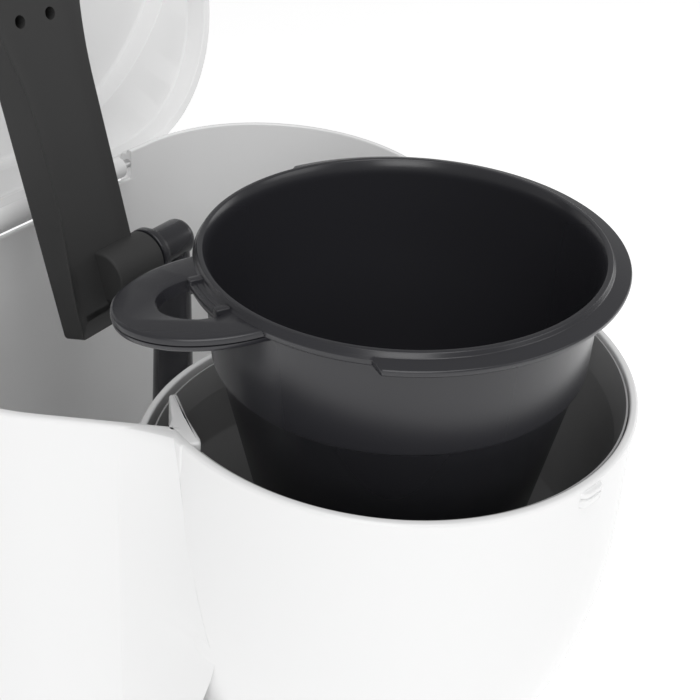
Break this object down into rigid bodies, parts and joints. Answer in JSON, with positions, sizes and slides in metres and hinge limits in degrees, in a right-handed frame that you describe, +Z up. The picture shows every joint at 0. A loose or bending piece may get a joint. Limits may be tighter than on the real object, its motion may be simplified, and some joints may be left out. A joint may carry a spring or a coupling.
{
  "type": "drip coffee maker",
  "caption": "White drip coffee maker with a round filter bowl in front of a water tank, hinged lid, swinging spray arm, lift-out black filter basket and glass carafe.",
  "frame": {"origin": "on the standing plane, directly under the axis of the filter bowl and warming plate", "axes": "+Z up, -Y to the machine's front, +X to its right as seen by someone standing at the front"},
  "size_m": [0.2114, 0.3327, 0.4887],
  "materials": {
    "white_plastic": "glossy white moulded plastic",
    "black_plastic": "glossy black moulded plastic",
    "black_satin": "satin black moulded plastic",
    "grey_plastic": "mid grey moulded plastic",
    "clear_plastic": "clear plastic",
    "glass": "clear borosilicate glass",
    "silicone": "translucent silicone hose",
    "black_rubber": "black rubber",
    "red_silicone": "red silicone",
    "red_plastic": "red translucent rocker",
    "steel": "plain steel",
    "aluminium": "extruded aluminium",
    "plate_coating": "black non-stick coated steel",
    "brass": "brass",
    "wire": "white wire insulation"
  },
  "bodies": {
    "machine": {"housing": "white_plastic", "bowl_liner": "black_plastic", "riser_column": "black_plastic", "hot_tube": "silicone", "pivot_spigot": "black_satin", "pivot_seal": "black_rubber", "water_window": "clear_plastic", "window_gasket": "silicone", "tank_strainer": "grey_plastic", "tank_nipple": "grey_plastic", "tube_grommet": "black_rubber", "check_valve": "grey_plastic", "cold_hose": "silicone", "hot_hose": "silicone", "hose_clamps": "steel", "base_shell": "white_plastic", "base_cover": "grey_plastic", "rubber_feet": "black_rubber", "base_screws": "steel", "warming_plate": "plate_coating", "plate_seal": "black_rubber", "heater": "aluminium", "heater_clamp": "steel", "clamp_screws": "steel", "thermostat": "black_satin", "thermal_fuses": "brass", "terminal_block": "white_plastic", "switch_body": "black_satin", "lead_wires": "wire", "cord_gland": "black_satin"},
    "lid": {"lid": "white_plastic", "lid_hinge_pin": "steel"},
    "spray_arm": {"spray_arm": "black_satin", "arm_cover": "black_satin"},
    "basket_carrier": {"drip_nozzle": "grey_plastic", "valve_spring": "steel"},
    "basket": {"filter_basket": "black_plastic"},
    "drip_valve": {"drip_valve": "red_silicone"},
    "carafe": {"carafe_glass": "glass", "carafe_band": "black_plastic", "band_screw": "steel", "carafe_handle": "black_plastic", "carafe_lid": "black_plastic"},
    "switch_rocker": {"switch_rocker": "red_plastic"}
  },
  "joints": [
    {"name": "lid_hinge", "type": "hinge", "parent": "machine", "child": "lid", "pos_m": [0.017, 0.1424, 0.29], "axis": [1, 0, 0], "range_deg": [0, 108]},
    {"name": "arm_pivot", "type": "hinge", "parent": "machine", "child": "spray_arm", "pos_m": [0.01, 0.1057, 0.2798], "axis": [1, 0, 0], "range_deg": [0, 106.5]},
    {"name": "basket_lift", "type": "slide", "parent": "machine", "child": "basket_carrier", "axis": [0, 0, 1], "range_m": [-0.058, 0]},
    {"name": "basket_turn", "type": "hinge", "parent": "basket_carrier", "child": "basket", "pos_m": [0, 0, 0.3312], "axis": [-0.0253, 0.0594, 0.9979], "range_deg": [-70, 0]},
    {"name": "drip_valve_lift", "type": "slide", "parent": "basket_carrier", "child": "drip_valve", "axis": [-0.0253, 0.0594, 0.9979], "range_m": [0, 0.003], "stiffness_N_per_m": 150, "springref_m": -0.002, "deforming": ["valve_spring"]},
    {"name": "carafe_pull", "type": "slide", "parent": "machine", "child": "carafe", "axis": [0, -1, 0], "range_m": [0, 0.2]},
    {"name": "switch_rock", "type": "hinge", "parent": "machine", "child": "switch_rocker", "pos_m": [0.077, 0.0236, 0.062], "axis": [1, 0, 0], "range_deg": [0, 12]}
  ],
  "couplings": [
    {"joint": "arm_pivot", "follows": "lid_hinge", "ratio": 0.98611},
    {"joint": "basket_lift", "follows": "lid_hinge", "m_per_rad": -0.030769},
    {"joint": "basket_turn", "follows": "lid_hinge", "ratio": -0.64815}
  ]
}
